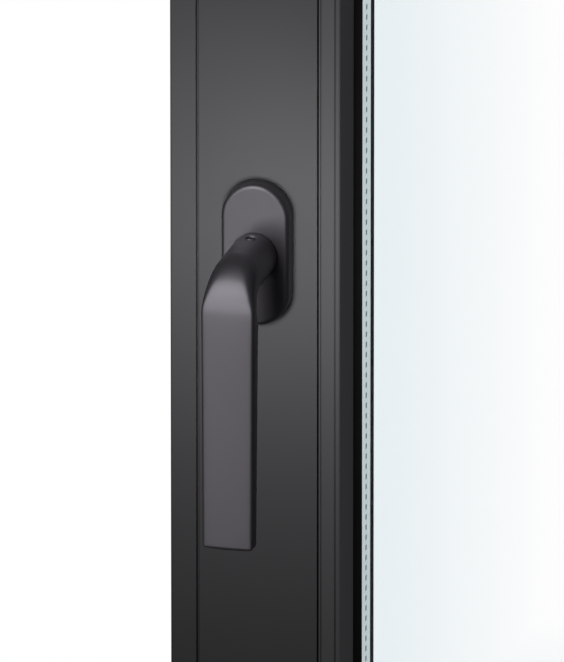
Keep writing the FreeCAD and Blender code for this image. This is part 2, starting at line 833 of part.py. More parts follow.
def lever():
    """Cranked lever: a round neck, a bend that flattens, and a flat tapered grip."""
    x, z = size("handle_inset"), size("handle_height")
    neck, outer, inner = size("neck_radius"), size("bend_outer"), size("bend_inner")
    front_y = -(size("rosette_depth") + size("lever_reach"))
    back_y = front_y + size("grip_thick")
    outer_centre = FreeCAD.Vector(x, front_y + outer, z + neck - outer)
    inner_centre = FreeCAD.Vector(x, back_y + inner, z - neck - inner)
    bend_start = outer_centre.y + outer / 6
    neck_section = round_section(FreeCAD.Vector(x, bend_start, z), neck)
    bend = []
    for step in range(13):
        share = step / 12
        turn = share * math.pi / 2
        way = FreeCAD.Vector(0, -math.sin(turn), math.cos(turn))
        width = 2 * neck + (size("grip_width") - 2 * neck) * math.sin(turn)
        corner = neck * 0.96 + (size("grip_round") - neck * 0.96) * share
        bend.append(lever_section(outer_centre + way * outer, inner_centre + way * inner, width, corner))
    bottom = z - size("lever_drop") - size("end_round") * 2
    end_section = lever_section(
        FreeCAD.Vector(x, front_y, bottom),
        FreeCAD.Vector(x, front_y + size("grip_end_thick"), bottom),
        size("grip_end_width"),
        size("grip_round"),
    )
    blank = feature(Part.makeLoft([neck_section] + bend + [end_section], True, True), "Grip")
    # the end is a shallow arc across the grip, and its edge is rounded
    dome_height = "handle_height - lever_drop + end_arc"
    dome = rod("-Y", "handle_inset", "0", dome_height, "end_arc", "rosette_depth + 2 * lever_reach")
    whole = doc.addObject("Part::Common", "Trimmed")
    whole.Base = blank
    whole.Tool = dome
    doc.recompute()
    low = z - size("lever_drop") + size("end_round")
    end = [
        (n, size("end_round"), size("end_round"))
        for n, edge in enumerate(whole.Shape.Edges, 1)
        if all(v.Point.z < low for v in edge.Vertexes)
    ]
    smooth = doc.addObject("Part::Fillet", "End")
    smooth.Base = whole
    smooth.Edges = end
    straight_length = f"{-bend_start} - {COVER_IN}"
    straight = rod("-Y", "handle_inset", f"-{COVER_IN}", "handle_height", "neck_radius", straight_length)
    shank_start = "-recess_depth / 3 - running_gap"
    shank = rod("-Y", "handle_inset", shank_start, "handle_height", "shank_radius", "rosette_depth")
    socket = spindle_hole("-spindle_depth", "spindle_depth + 1", "spindle_side + spindle_gap")
    thread = rod("Z", "handle_inset", GRUB_Y, "handle_height", "grub_radius + running_gap", "2 * neck_radius")
    sink_z = "handle_height + neck_radius - 0.7"
    sink = rod("Z", "handle_inset", GRUB_Y, sink_z, "grub_radius + running_gap", "0.9", "grub_radius + 0.85")
    seat(cut(fuse(smooth, straight, shank), socket, thread, sink), "lever")


def spindle():
    length = f"spindle_depth - running_gap + {CASE_BACK}"
    square = box(
        "handle_inset - spindle_side / 2",
        "-spindle_depth + running_gap",
        "handle_height - spindle_side / 2",
        "spindle_side",
        length,
        "spindle_side",
    )
    seat(group(square), "spindle")


def grub_screw():
    z = "handle_height + spindle_side / 2 + running_gap"
    body = rod("Z", "handle_inset", GRUB_Y, z, "grub_radius", "grub_length")
    socket = hexagon("handle_inset", GRUB_Y, f"{z} + grub_length / 2", "grub_radius * 0.58", "grub_length")
    seat(cut(body, socket), "grub_screw")


def hexagon(x, y, z, radius, length):
    made = doc.addObject("Part::Prism", "Hexagon")
    made.Polygon = 6
    bind(made, Circumradius=radius, Height=length)
    move(made, x, y, z)
    return made


def countersunk(axis, x, y, z, radius, head, length):
    """A countersunk screw from the centre of its head's flat face, with a socket."""
    deep = f"({head} - {radius})"
    cone = rod(axis, x, y, z, head, deep, radius)
    shank = rod(axis, x, y, z, radius, length)
    socket = rod(axis, x, y, z, f"{radius} * 0.6", f"{deep} * 0.8")
    return cut(fuse(cone, shank), socket)


def rosette_screws():
    front = f"-{COVER_IN} + 2 * neck_gap"
    length = f"{CASE_BACK} + {COVER_IN} - wall"
    head = "2 * grub_radius"
    screws = []
    for height in screw_heights():
        radius = "grub_radius - running_gap"
        screws.append(countersunk("Y", "handle_inset", front, height, radius, head, length))
    seat(group(*screws), "rosette_screws")


# ---- gearbox ----


def involute(base_radius, radius):
    """The involute's angle at a radius."""
    slope = math.acos(min(1.0, base_radius / radius))
    return math.tan(slope) - slope


def pinion():
    """Involute pinion with a square hole, one tooth pointing at the rack."""
    module, teeth = size("gear_module"), int(size("pinion_teeth"))
    pitch = module * teeth / 2
    base = pitch * math.cos(math.radians(20))
    root, tip = pitch - 1.25 * module, pitch + module
    half_tooth = math.pi / 2 / teeth - size("backlash") / 4 / pitch + involute(base, pitch)
    radii = [base + (tip - base) * k / 4 for k in range(5)]
    flank = [(root, half_tooth)] + [(r, half_tooth - involute(base, r)) for r in radii]
    points = []
    for k in range(teeth):
        middle = math.pi + 2 * math.pi * k / teeth
        for r, half in flank:
            points.append((r, middle - half))
        for r, half in reversed(flank):
            points.append((r, middle + half))
    x, z = size("handle_inset"), size("handle_height")
    front = size("groove_middle") - size("pinion_width") / 2
    corners = [FreeCAD.Vector(x + r * math.cos(a), front, z + r * math.sin(a)) for r, a in points]
    face = Part.Face(Part.makePolygon(corners + corners[:1]))
    wheel = feature(face.extrude(FreeCAD.Vector(0, size("pinion_width"), 0)), "Teeth")
    hub = drill(f"{CASE_FRONT} + running_gap", "case_depth - 2 * running_gap", "hub_radius")
    hole = spindle_hole(f"{CASE_FRONT} - 1", "case_depth + 2", "spindle_side + spindle_gap")
    seat(cut(fuse(wheel, hub), hole), "pinion")


def gearbox():
    """Casing behind the stile's faceplate, open towards it for the rack, and its lid."""
    x, z = f"({ROD_OUT} + running_gap)", "(handle_height - case_half)"
    width = f"(handle_inset + case_reach - {x})"
    depth = f"({CASE_LID} - {CASE_FRONT})"
    solid = box(x, CASE_FRONT, z, width, depth, "2 * case_half")
    inner_front = f"({CASE_FRONT} + case_wall)"
    inner_depth = f"({CASE_LID} - {inner_front})"
    tip = f"({PITCH_RADIUS} + gear_module + 4 * backlash)"
    slot_width = f"handle_inset - {PITCH_RADIUS} + 2 * gear_module - {x} + 1"
    slot = box(f"{x} - 1", inner_front, f"{z} - 1", slot_width, f"{inner_depth} + 1", "2 * case_half + 2")
    round_pocket = drill(inner_front, f"{inner_depth} + 1", tip)

    def bores():
        start, length = f"{CASE_FRONT} - 1", "case_depth + 2"
        threads = [drill(start, length, "grub_radius", height) for height in screw_heights()]
        return [drill(start, length, "hub_radius + running_gap")] + threads

    seat(cut(solid, slot, round_pocket, *bores()), "gearbox_case")
    lid = box(x, CASE_LID, z, width, "case_wall", "2 * case_half")
    seat(cut(lid, *bores()), "gearbox_lid")


def rack_teeth():
    """The rack's toothed block, from the rod to the pitch line and beyond."""
    module, pitch = size("gear_module"), math.pi * size("gear_module")
    centre_x = size("handle_inset") - module * size("pinion_teeth") / 2
    z = size("handle_height")
    rod_face = size("overlap") + size("groove_step") + size("rod_gap") + size("rod_thick")
    root, tip = centre_x - 1.25 * module, centre_x + module
    slope = math.tan(math.radians(20))
    half = pitch / 4 - size("backlash") / 4
    travel = math.pi * module * size("pinion_teeth") / 2
    first, last = -3, round(travel / pitch) + 3
    points = [(rod_face - size("rod_gap"), z + (first - 0.5) * pitch)]
    points.append((root, z + (first - 0.5) * pitch))
    for k in range(first, last + 1):
        middle = z + (k + 0.5) * pitch
        for across, way in ((root, -1), (tip, -1), (tip, 1), (root, 1)):
            points.append((across, middle + way * (half - (across - centre_x) * slope)))
    points.append((root, z + (last + 1.5) * pitch))
    points.append((rod_face - size("rod_gap"), z + (last + 1.5) * pitch))
    y = size("groove_middle") - size("rack_width") / 2
    corners = [FreeCAD.Vector(a, y, b) for a, b in points]
    face = Part.Face(Part.makePolygon(corners + corners[:1]))
    return feature(face.extrude(FreeCAD.Vector(0, size("rack_width"), 0)), "Rack")


def stile_rod():
    """Flat rod behind the stile's faceplate, with the rack and slots for the fixing screws."""
    low = "(rod_corner + stroke)"
    high = "(sash_height - rod_corner - leaf_bend)"
    flat = box(ROD_OUT, ROD_LOW, low, "rod_thick", "rod_width", f"{high} - {low}")
    room = "screw_radius + slot_gap"
    slots = []
    for z in stile_screw_heights():
        slot_size = ("rod_thick + 2", f"2 * ({room})", f"stroke + 2 * ({room})")
        slots.append(box(f"{ROD_OUT} - 1", f"groove_middle - ({room})", f"{z} - ({room})", *slot_size))
    seat(cut(fuse(flat, rack_teeth()), *slots), "stile_drive_rod")


def stile_screw_heights():
    offset = "(case_half + 10 * screw_radius)"
    return (f"(handle_height - {offset})", f"(handle_height + {offset})")


def top_rod():
    start = "(rod_corner + stroke)"
    length = f"{STAY_PIVOT} - {start} - corner_leg / 2"
    flat = box(start, ROD_LOW, f"sash_height - {ROD_IN}", length, "rod_width", "rod_thick")
    seat(group(flat), "top_drive_rod")


def bottom_rod():
    length = "cam_bottom + corner_leg - rod_corner"
    flat = box("rod_corner", ROD_LOW, ROD_OUT, length, "rod_width", "rod_thick")
    seat(group(flat), "bottom_drive_rod")


def cam(axis, x, z):
    """Round locking cam on a rod: a shank in the faceplate's slot and a wider head outside."""
    y = "groove_middle"
    shank_length = f"({ROD_OUT} - {PLATE_OUT} + slot_gap)"
    ways = {"-X": ("-", ""), "Z": ("", "+"), "-Z": ("", "-")}
    step = ways[axis]
    head_x = f"{x} - {shank_length}" if step[0] else x
    head_z = f"{z} {step[1]} {shank_length}" if step[1] else z
    tip_x = f"{head_x} - cam_height" if step[0] else x
    tip_z = f"{head_z} {step[1]} cam_height" if step[1] else z
    shank = rod(axis, x, y, z, "cam_shank", shank_length)
    head = rod(axis, head_x, y, head_z, "cam_radius", "cam_height")
    tip = rod(axis, tip_x, y, tip_z, "cam_radius", "cam_radius / 6", "cam_radius * 5 / 6")
    socket = hexagon(tip_x, y, f"{tip_z} - cam_radius / 2", "cam_radius / 2.2", "cam_radius * 2")
    if axis == "-X":
        socket.Placement = FreeCAD.Placement(FreeCAD.Vector(), FreeCAD.Rotation(FreeCAD.Vector(0, 1, 0), 90))
        move(socket, f"{tip_x} - cam_radius * 1.5", y, z)
    elif axis == "Z":
        move(socket, x, y, f"{tip_z} - cam_radius / 2")
    else:
        move(socket, x, y, f"{tip_z} - cam_radius * 1.5")
    return cut(fuse(shank, head, tip), socket)


def cams():
    pair = [cam("-X", ROD_OUT, f"handle_height {way} cam_spread") for way in ("+", "-")]
    seat(group(*pair), "stile_cams")
    seat(cam("Z", "cam_top", f"sash_height - {ROD_OUT}"), "top_cam")
    seat(cam("-Z", "cam_bottom", ROD_OUT), "bottom_cam")


PLATE_LOW = "(groove_middle - groove_width / 2 + faceplate_gap)"
PLATE_WIDE = "(groove_width - 2 * faceplate_gap)"
CAM_ROOM = "(cam_shank + slot_gap)"
BOTTOM_END = "(cam_bottom + corner_leg * 2)"
CAM_SLOT = f"(stroke + 2 * {CAM_ROOM})"


def sunk_hole(axis, x, z):
    """The countersunk hole of one faceplate screw, from the plate's outer face inwards."""
    deep = "(screw_head - screw_radius)"
    return (
        rod(axis, x, "groove_middle", z, "screw_head + running_gap", deep, "screw_radius + running_gap"),
        rod(axis, x, "groove_middle", z, "screw_radius + running_gap", "screw_length"),
    )


def plate_screw(axis, x, z):
    return countersunk(axis, x, "groove_middle", z, "screw_radius", "screw_head", "screw_length")


def faceplates():
    """Steel strips that close the groove over the rods, slotted for the cams."""
    leg_end = f"({PLATE_OUT} + corner_leg)"
    wide = f"2 * {CAM_ROOM}"
    slot_y = f"groove_middle - {CAM_ROOM}"
    through = "faceplate_thick + 2"
    tall = f"sash_height - 2 * {leg_end} - 2 * running_gap"
    plate = box(PLATE_OUT, PLATE_LOW, f"{leg_end} + running_gap", "faceplate_thick", PLATE_WIDE, tall)
    tools = []
    for way in ("+", "-"):
        z = f"handle_height {way} cam_spread + {CAM_ROOM} - {CAM_SLOT}"
        tools.append(box(f"{PLATE_OUT} - 1", slot_y, z, through, wide, CAM_SLOT))
    for z in stile_screw_heights():
        tools.extend(sunk_hole("X", PLATE_OUT, z))
    seat(cut(plate, *tools), "stile_faceplate")

    x = f"({leg_end} + running_gap)"
    length = f"{STAY_PIVOT} - corner_leg / 3 - {x}"
    plate = box(x, PLATE_LOW, f"sash_height - {STEP}", length, PLATE_WIDE, "faceplate_thick")
    slot_x = f"cam_top + {CAM_ROOM} - {CAM_SLOT}"
    slot = box(slot_x, slot_y, f"sash_height - {STEP} - 1", CAM_SLOT, wide, through)
    seat(cut(plate, slot), "top_faceplate")

    plate = box(x, PLATE_LOW, PLATE_OUT, f"{BOTTOM_END} - {x}", PLATE_WIDE, "faceplate_thick")
    slot = box(f"cam_bottom - {CAM_ROOM}", slot_y, f"{PLATE_OUT} - 1", CAM_SLOT, wide, through)
    holes = sunk_hole("Z", f"{BOTTOM_END} - 2 * screw_head", PLATE_OUT)
    seat(cut(plate, slot, *holes), "bottom_faceplate")


def corner_drives():
    """L-shaped plates over the corners, and the flexible leaf that turns the corner inside."""
    reach = f"({PLATE_OUT} + corner_leg)"
    heights = {"bottom": (PLATE_OUT, PLATE_OUT), "top": (f"sash_height - {reach}", f"sash_height - {STEP}")}
    for end, (leg, foot) in heights.items():
        upright = box(PLATE_OUT, PLATE_LOW, leg, "faceplate_thick", PLATE_WIDE, "corner_leg")
        level = box(PLATE_OUT, PLATE_LOW, foot, "corner_leg", PLATE_WIDE, "faceplate_thick")
        seat(fuse(upright, level), f"{end}_corner_plate")
    seat(group(leaf(False), leaf(True)), "corner_leaves")


def leaf(top):
    """A thin strip with two legs and a round bend, in the channels of a left-hand corner."""
    inset = size("channel_base") - 4.5 * size("leaf_thick")
    bend, thick, leg = size("leaf_bend"), size("leaf_thick"), size("leaf_leg")
    y = size("groove_middle") - size("leaf_width") / 2
    centre = inset + bend

    outside, inside = bend, bend - thick
    end = centre + leg

    def arc_point(radius, turn):
        return FreeCAD.Vector(centre - radius * math.cos(turn), y, centre - radius * math.sin(turn))

    def arc(radius, *turns):
        return Part.Arc(*[arc_point(radius, turn * math.pi / 4) for turn in turns]).toShape()

    def line(start, stop):
        return Part.LineSegment(start, stop).toShape()

    upright = [FreeCAD.Vector(centre - radius, y, end) for radius in (outside, inside)]
    level = [FreeCAD.Vector(end, y, centre - radius) for radius in (outside, inside)]
    edges = [
        line(upright[0], arc_point(outside, 0)),
        arc(outside, 0, 1, 2),
        line(arc_point(outside, math.pi / 2), level[0]),
        line(level[0], level[1]),
        line(level[1], arc_point(inside, math.pi / 2)),
        arc(inside, 2, 1, 0),
        line(arc_point(inside, 0), upright[1]),
        line(upright[1], upright[0]),
    ]
    solid = Part.Face(Part.Wire(edges)).extrude(FreeCAD.Vector(0, size("leaf_width"), 0))
    if top:
        middle = size("sash_height") / 2
        solid = solid.mirror(FreeCAD.Vector(0, 0, middle), FreeCAD.Vector(0, 0, 1))
    return feature(solid, "Leaf")


# ---- hinges ----


BUSH_RADIUS = "(pin_radius + hinge_bush - running_gap / 2)"


def lower_hinge():
    """Bracket in the right stile's groove, an arm round the lip, and a knuckle that stands on
    the frame's pin."""
    plate_x, plate_z = f"(sash_width - {STEP})", "hinge_rise + running_gap"
    plate = box(plate_x, PLATE_LOW, plate_z, "faceplate_thick", PLATE_WIDE, "bracket_length")
    arm_x = f"(sash_width - {PLATE_OUT} - 0.5)"
    arm_y = f"({LIP_BACK} + stop_height + 2 * faceplate_gap)"
    arm_length = f"{HINGE_X} + plate_thick / 2 - {arm_x}"
    arm = box(arm_x, arm_y, "hinge_rise", arm_length, "plate_thick", "lower_knuckle")
    wrap_depth = f"{arm_y} + plate_thick + hinge_front"
    wrap_x = f"{HINGE_X} - plate_thick / 2"
    wrap = box(wrap_x, "-hinge_front", "hinge_rise", "plate_thick", wrap_depth, "lower_knuckle")
    knuckle = rod("Z", HINGE_X, "-hinge_front", "hinge_rise", "knuckle_radius", "lower_knuckle")
    bore = rod("Z", HINGE_X, "-hinge_front", "hinge_rise - 1", "pin_radius + hinge_bush", "pin_depth + 1")
    holes = []
    for z in hinge_screw_heights():
        holes.extend(sunk_hole("-X", f"sash_width - {PLATE_OUT}", z))
    seat(cut(fuse(plate, arm, wrap, knuckle), bore, *holes), "lower_hinge_bracket")
    bush = rod("Z", HINGE_X, "-hinge_front", "hinge_rise", BUSH_RADIUS, "pin_depth")
    inside = rod("Z", HINGE_X, "-hinge_front", "hinge_rise - 1", "pin_radius", "pin_depth + 2")
    seat(cut(bush, inside), "lower_hinge_bush")
    cap_z, bevel = "hinge_rise + lower_knuckle", "cap_height / 4"
    cap = rod("Z", HINGE_X, "-hinge_front", cap_z, "knuckle_radius", f"cap_height - {bevel}")
    crown_z = f"{cap_z} + cap_height - {bevel}"
    crown = rod("Z", HINGE_X, "-hinge_front", crown_z, "knuckle_radius", bevel, f"knuckle_radius - {bevel}")
    seat(fuse(cap, crown), "lower_hinge_cap")


def hinge_screw_heights():
    free = "(bracket_length - lower_knuckle)"
    return tuple(f"(hinge_rise + lower_knuckle + {share} * {free})" for share in (0.25, 0.8))


def stay():
    """Stay arm of the tilt position: it lies on the top edge and swings out on a rivet."""
    top = "sash_height"
    plate_x = f"({STAY_PIVOT} - corner_leg / 3 + running_gap)"
    plate_length = f"sash_width - corner_leg / 2 - {plate_x}"
    plate = box(plate_x, PLATE_LOW, f"{top} - {STEP}", plate_length, PLATE_WIDE, "faceplate_thick")
    holes = []
    for x in stay_screws():
        holes.extend(sunk_hole("-Z", x, f"{top} - {PLATE_OUT}"))
    hole = rod("Z", STAY_PIVOT, "groove_middle", f"{top} - {STEP} - 1", "rivet_radius", "faceplate_thick + 2")
    seat(cut(plate, hole, *holes), "stay_plate")

    arm_z = f"({top} - {PLATE_OUT} + stay_gap)"
    half = "stay_width / 2"
    arm_y, arm_length = f"groove_middle - {half}", f"stay_length + {half}"
    arm = box(STAY_PIVOT, arm_y, arm_z, arm_length, "stay_width", "stay_thick")
    eye = rod("Z", STAY_PIVOT, "groove_middle", arm_z, half, "stay_thick")
    wrap_depth = f"hinge_front + groove_middle + {half}"
    wrap = box(f"{HINGE_X} - {half}", "-hinge_front", arm_z, "stay_width", wrap_depth, "stay_thick")
    low = f"({arm_z} + stay_thick - upper_knuckle)"
    knuckle = rod("Z", HINGE_X, "-hinge_front", low, "knuckle_radius", "upper_knuckle")
    bore = rod("Z", HINGE_X, "-hinge_front", f"{low} - 1", "pin_radius + hinge_bush", "upper_knuckle + 2")
    rivet_z, rivet_hole = f"{arm_z} - 1", "rivet_radius + running_gap"
    pivot = rod("Z", STAY_PIVOT, "groove_middle", rivet_z, rivet_hole, "stay_thick + 2")
    trim_x, trim_depth = f"{HINGE_X} + {half}", "2 * hinge_front + 2 * groove_middle"
    trimmed = box(trim_x, "-hinge_front", f"{arm_z} - 1", "stay_width", trim_depth, "stay_thick + 2")
    seat(cut(fuse(arm, eye, wrap, knuckle), bore, pivot, trimmed), "stay_arm")
    bush = rod("Z", HINGE_X, "-hinge_front", low, BUSH_RADIUS, "upper_knuckle")
    inside = rod("Z", HINGE_X, "-hinge_front", f"{low} - 1", "pin_radius", "upper_knuckle + 2")
    seat(cut(bush, inside), "upper_hinge_bush")
    rivet_top = f"({arm_z} + stay_thick + running_gap)"
    shank_length = f"{rivet_top} - {top} + {STEP}"
    shank = rod("Z", STAY_PIVOT, "groove_middle", f"{top} - {STEP}", "rivet_radius", shank_length)
    dome = ("1.7 * rivet_radius", "rivet_radius / 2", "rivet_radius")
    head = rod("Z", STAY_PIVOT, "groove_middle", rivet_top, *dome)
    seat(fuse(shank, head), "stay_rivet")


def stay_screws():
    return (f"({STAY_PIVOT} + corner_leg / 2)", "(sash_width - corner_leg / 2 - 4 * screw_head)")


def plate_screws():
    """Countersunk screws of the faceplates, stay plate and hinge bracket."""
    made = [plate_screw("X", PLATE_OUT, z) for z in stile_screw_heights()]
    made.append(plate_screw("Z", f"{BOTTOM_END} - 2 * screw_head", PLATE_OUT))
    made.extend(plate_screw("-Z", x, f"sash_height - {PLATE_OUT}") for x in stay_screws())
    made.extend(plate_screw("-X", f"sash_width - {PLATE_OUT}", z) for z in hinge_screw_heights())
    seat(group(*made), "hardware_screws")


def build():
    inner_shells()
    outer_shells()
    thermal_breaks()
    high = "(rebate_base - wall)"
    cleats("inner_corner_cleats", "(channel_base + wall)", high, "wall", "(inner_depth - wall)")
    outdoor = (f"({BREAK_END} + wall)", f"({SASH_DEPTH} - wall)")
    cleats("outer_corner_cleats", "(outer_inset + wall)", high, *outdoor)
    beads()
    gaskets()
    panes()
    glazing_edge()
    glazing_blocks()
    rosette_cover()
    rosette_base()
    neck_bush()
    clicks()
    lever()
    spindle()
    grub_screw()
    rosette_screws()
    pinion()
    gearbox()
    stile_rod()
    top_rod()
    bottom_rod()
    cams()
    faceplates()
    corner_drives()
    lower_hinge()
    stay()
    plate_screws()


def write():
    """Checks every object and every sub-part, then writes one STEP file for each."""
    doc.recompute()
    bad = [o.Label for o in doc.Objects if {"Invalid", "Error"} & set(o.State)]
    for part in finished:
        if part.Shape.isNull() or not part.Shape.isValid() or not part.Shape.Solids:
            bad.append(part.Label)
    if bad:
        raise RuntimeError("failed: " + ", ".join(sorted(set(bad))))
    os.makedirs("parts", exist_ok=True)
    for part in finished:
        part.Shape.exportStep(f"parts/{part.Label}.step")


build()
write()
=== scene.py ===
import json
import math

import bmesh
import bpy
from mathutils import Matrix, Vector


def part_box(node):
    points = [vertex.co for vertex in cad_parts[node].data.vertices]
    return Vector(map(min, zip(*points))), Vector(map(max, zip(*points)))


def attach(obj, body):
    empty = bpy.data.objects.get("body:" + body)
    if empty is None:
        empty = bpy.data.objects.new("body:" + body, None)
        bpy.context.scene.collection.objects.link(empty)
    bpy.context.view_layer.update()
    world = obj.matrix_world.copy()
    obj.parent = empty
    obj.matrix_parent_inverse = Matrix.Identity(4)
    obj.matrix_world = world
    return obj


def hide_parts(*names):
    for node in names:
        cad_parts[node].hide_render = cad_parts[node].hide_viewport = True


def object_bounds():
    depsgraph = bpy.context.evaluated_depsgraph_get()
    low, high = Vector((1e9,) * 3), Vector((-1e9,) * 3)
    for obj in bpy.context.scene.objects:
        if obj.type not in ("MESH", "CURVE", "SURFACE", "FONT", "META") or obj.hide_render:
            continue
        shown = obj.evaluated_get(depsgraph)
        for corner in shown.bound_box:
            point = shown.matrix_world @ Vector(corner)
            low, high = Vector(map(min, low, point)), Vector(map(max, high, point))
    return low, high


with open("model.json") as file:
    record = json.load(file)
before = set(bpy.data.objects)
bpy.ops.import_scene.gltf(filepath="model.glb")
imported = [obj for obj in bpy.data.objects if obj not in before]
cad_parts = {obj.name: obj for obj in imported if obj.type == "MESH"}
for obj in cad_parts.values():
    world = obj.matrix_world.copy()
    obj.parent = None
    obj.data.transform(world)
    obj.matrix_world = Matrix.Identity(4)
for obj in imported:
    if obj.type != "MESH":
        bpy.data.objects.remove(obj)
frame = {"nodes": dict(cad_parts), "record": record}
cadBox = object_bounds()
nodes = frame["nodes"]
mm = 0.001

# where the handle sits: the spindle's axis and the rosette's front face
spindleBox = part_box("spindle")
axisX = (spindleBox[0].x + spindleBox[1].x) / 2
axisZ = (spindleBox[0].z + spindleBox[1].z) / 2
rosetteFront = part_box("rosette_cover")[0].y
sashLow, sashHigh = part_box("left_stile_inner")[0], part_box("right_stile_inner")[1]


def pieceFrom(bm, name, material, body):
    bmesh.ops.recalc_face_normals(bm, faces=bm.faces[:])
    mesh = bpy.data.meshes.new(name)
    bm.to_mesh(mesh)
    bm.free()
    piece = bpy.data.objects.new(name, mesh)
    bpy.context.scene.collection.objects.link(piece)
    mesh.materials.append(material)
    for polygon in mesh.polygons:
        polygon.use_smooth = True
    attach(piece, body)
    return piece


def subdivide(piece, levels):
    smooth = piece.modifiers.new("smooth", "SUBSURF")
    smooth.levels = levels
    smooth.render_levels = levels


def applyModifiers(piece):
    graph = bpy.context.evaluated_depsgraph_get()
    done = bpy.data.meshes.new_from_object(piece.evaluated_get(graph))
    piece.modifiers.clear()
    old = piece.data
    piece.data = done
    bpy.data.meshes.remove(old)


def nodeMaker(tree):
    def make(kind, inputs=None, **settings):
        made = tree.nodes.new(kind)
        for key, value in settings.items():
            setattr(made, key, value)
        for key, value in (inputs or {}).items():
            if isinstance(value, bpy.types.NodeSocket):
                tree.links.new(value, made.inputs[key])
            else:
                made.inputs[key].default_value = value
        return made

    return make


# short forms for the nodes used most: each gives the node's result
def maths(make, operation, *values):
    return make("ShaderNodeMath", dict(enumerate(values)), operation=operation).outputs[0]


def ranged(make, value, *limits):
    return make("ShaderNodeMapRange", dict(enumerate((value, *limits)))).outputs[0]


def noise(make, place, scale, detail=3.0, rough=0.5):
    settings = {"Vector": place, "Scale": scale, "Detail": detail, "Roughness": rough}
    return make("ShaderNodeTexNoise", settings).outputs["Fac"]


def scaled(make, color, factor):
    return make("ShaderNodeVectorMath", {0: color[:3], "Scale": factor}, operation="SCALE").outputs[0]


def colorMix(make, factor, first, second):
    return make("ShaderNodeMix", {"Factor": factor, 6: first, 7: second}, data_type="RGBA").outputs[2]


def bump(make, height, strength, distance):
    return make("ShaderNodeBump", {"Height": height, "Strength": strength, "Distance": distance}).outputs[0]


def objectPlace(make):
    return make("ShaderNodeTexCoord").outputs["Object"]


def newGroup(name, outputs, inputs=()):
    tree = bpy.data.node_groups.new(name, "ShaderNodeTree")
    for socketName, kind, start in inputs:
        socket = tree.interface.new_socket(socketName, in_out="INPUT", socket_type=kind)
        socket.default_value = start
    for socketName, kind in outputs:
        tree.interface.new_socket(socketName, in_out="OUTPUT", socket_type=kind)
    return tree, nodeMaker(tree)


def makeGrainGroup():
    # fine orange-peel and speckle of a sprayed or powder coat, over faint broad clouds
    tree, make = newGroup(
        "coatGrain",
        [("Tone", "NodeSocketFloat"), ("Rough", "NodeSocketFloat"), ("Normal", "NodeSocketVector")],
        [
            ("Grain size", "NodeSocketFloat", 1400.0),
            ("Grain depth", "NodeSocketFloat", 0.25),
            ("Tone change", "NodeSocketFloat", 0.08),
        ],
    )
    take = make("NodeGroupInput").outputs
    place = objectPlace(make)
    fine = noise(make, place, take["Grain size"], 3.0, 0.6)
    broad = noise(make, place, 14.0, 4.0, 0.55)
    spread = maths(make, "SUBTRACT", fine, 0.5)
    speckle = maths(make, "MULTIPLY", spread, take["Tone change"])
    clouds = maths(make, "MULTIPLY_ADD", maths(make, "SUBTRACT", broad, 0.5), 0.12, 1.0)
    give = make("NodeGroupOutput")
    tree.links.new(maths(make, "ADD", clouds, speckle), give.inputs["Tone"])
    tree.links.new(maths(make, "MULTIPLY", spread, 0.12), give.inputs["Rough"])
    tree.links.new(bump(make, fine, take["Grain depth"], 0.04 * mm), give.inputs["Normal"])
    return tree


def makeMitreGroup():
    # the hairline joint where two mitred bars meet, at each corner of the sash
    width = ("Width", "NodeSocketFloat", 0.16 * mm)
    tree, make = newGroup("mitreLine", [("Line", "NodeSocketFloat")], [width])
    take = make("NodeGroupInput").outputs
    middle = (sashLow + sashHigh) / 2
    parts = make("ShaderNodeSeparateXYZ", {"Vector": objectPlace(make)}).outputs
    sizeX = maths(make, "ABSOLUTE", maths(make, "SUBTRACT", parts["X"], middle.x))
    sizeZ = maths(make, "ABSOLUTE", maths(make, "SUBTRACT", parts["Z"], middle.z))
    offset = (sashHigh.z - sashLow.z - sashHigh.x + sashLow.x) / 2
    gap = maths(make, "SUBTRACT", maths(make, "SUBTRACT", sizeZ, sizeX), offset)
    line = maths(make, "LESS_THAN", maths(make, "ABSOLUTE", gap), take["Width"])
    give = make("NodeGroupOutput")
    tree.links.new(line, give.inputs["Line"])
    return tree


grainGroup = makeGrainGroup()
mitreGroup = makeMitreGroup()


def startMaterial(name, fixed):
    material = bpy.data.materials.new(name)
    material.use_nodes = True
    tree = material.node_tree
    shader = tree.nodes["Principled BSDF"]
    for key, value in fixed.items():
        shader.inputs[key].default_value = value
    return material, tree, shader, nodeMaker(tree)


def coat(name, color, roughness, grain, depth, change, specular=0.35, metallic=0.0, mitre=False):
    fixed = {"Metallic": metallic, "Specular IOR Level": specular}
    material, tree, shader, make = startMaterial(name, fixed)
    grainNode = make("ShaderNodeGroup", node_tree=grainGroup)
    for key, value in (("Grain size", grain), ("Grain depth", depth), ("Tone change", change)):
        grainNode.inputs[key].default_value = value
    final = scaled(make, color, grainNode.outputs["Tone"])
    if mitre:
        line = make("ShaderNodeGroup", node_tree=mitreGroup)
        final = colorMix(make, line.outputs["Line"], final, (0.004, 0.004, 0.004, 1))
    tree.links.new(final, shader.inputs["Base Color"])
    tree.links.new(maths(make, "ADD", grainNode.outputs["Rough"], roughness), shader.inputs["Roughness"])
    tree.links.new(grainNode.outputs["Normal"], shader.inputs["Normal"])
    return material


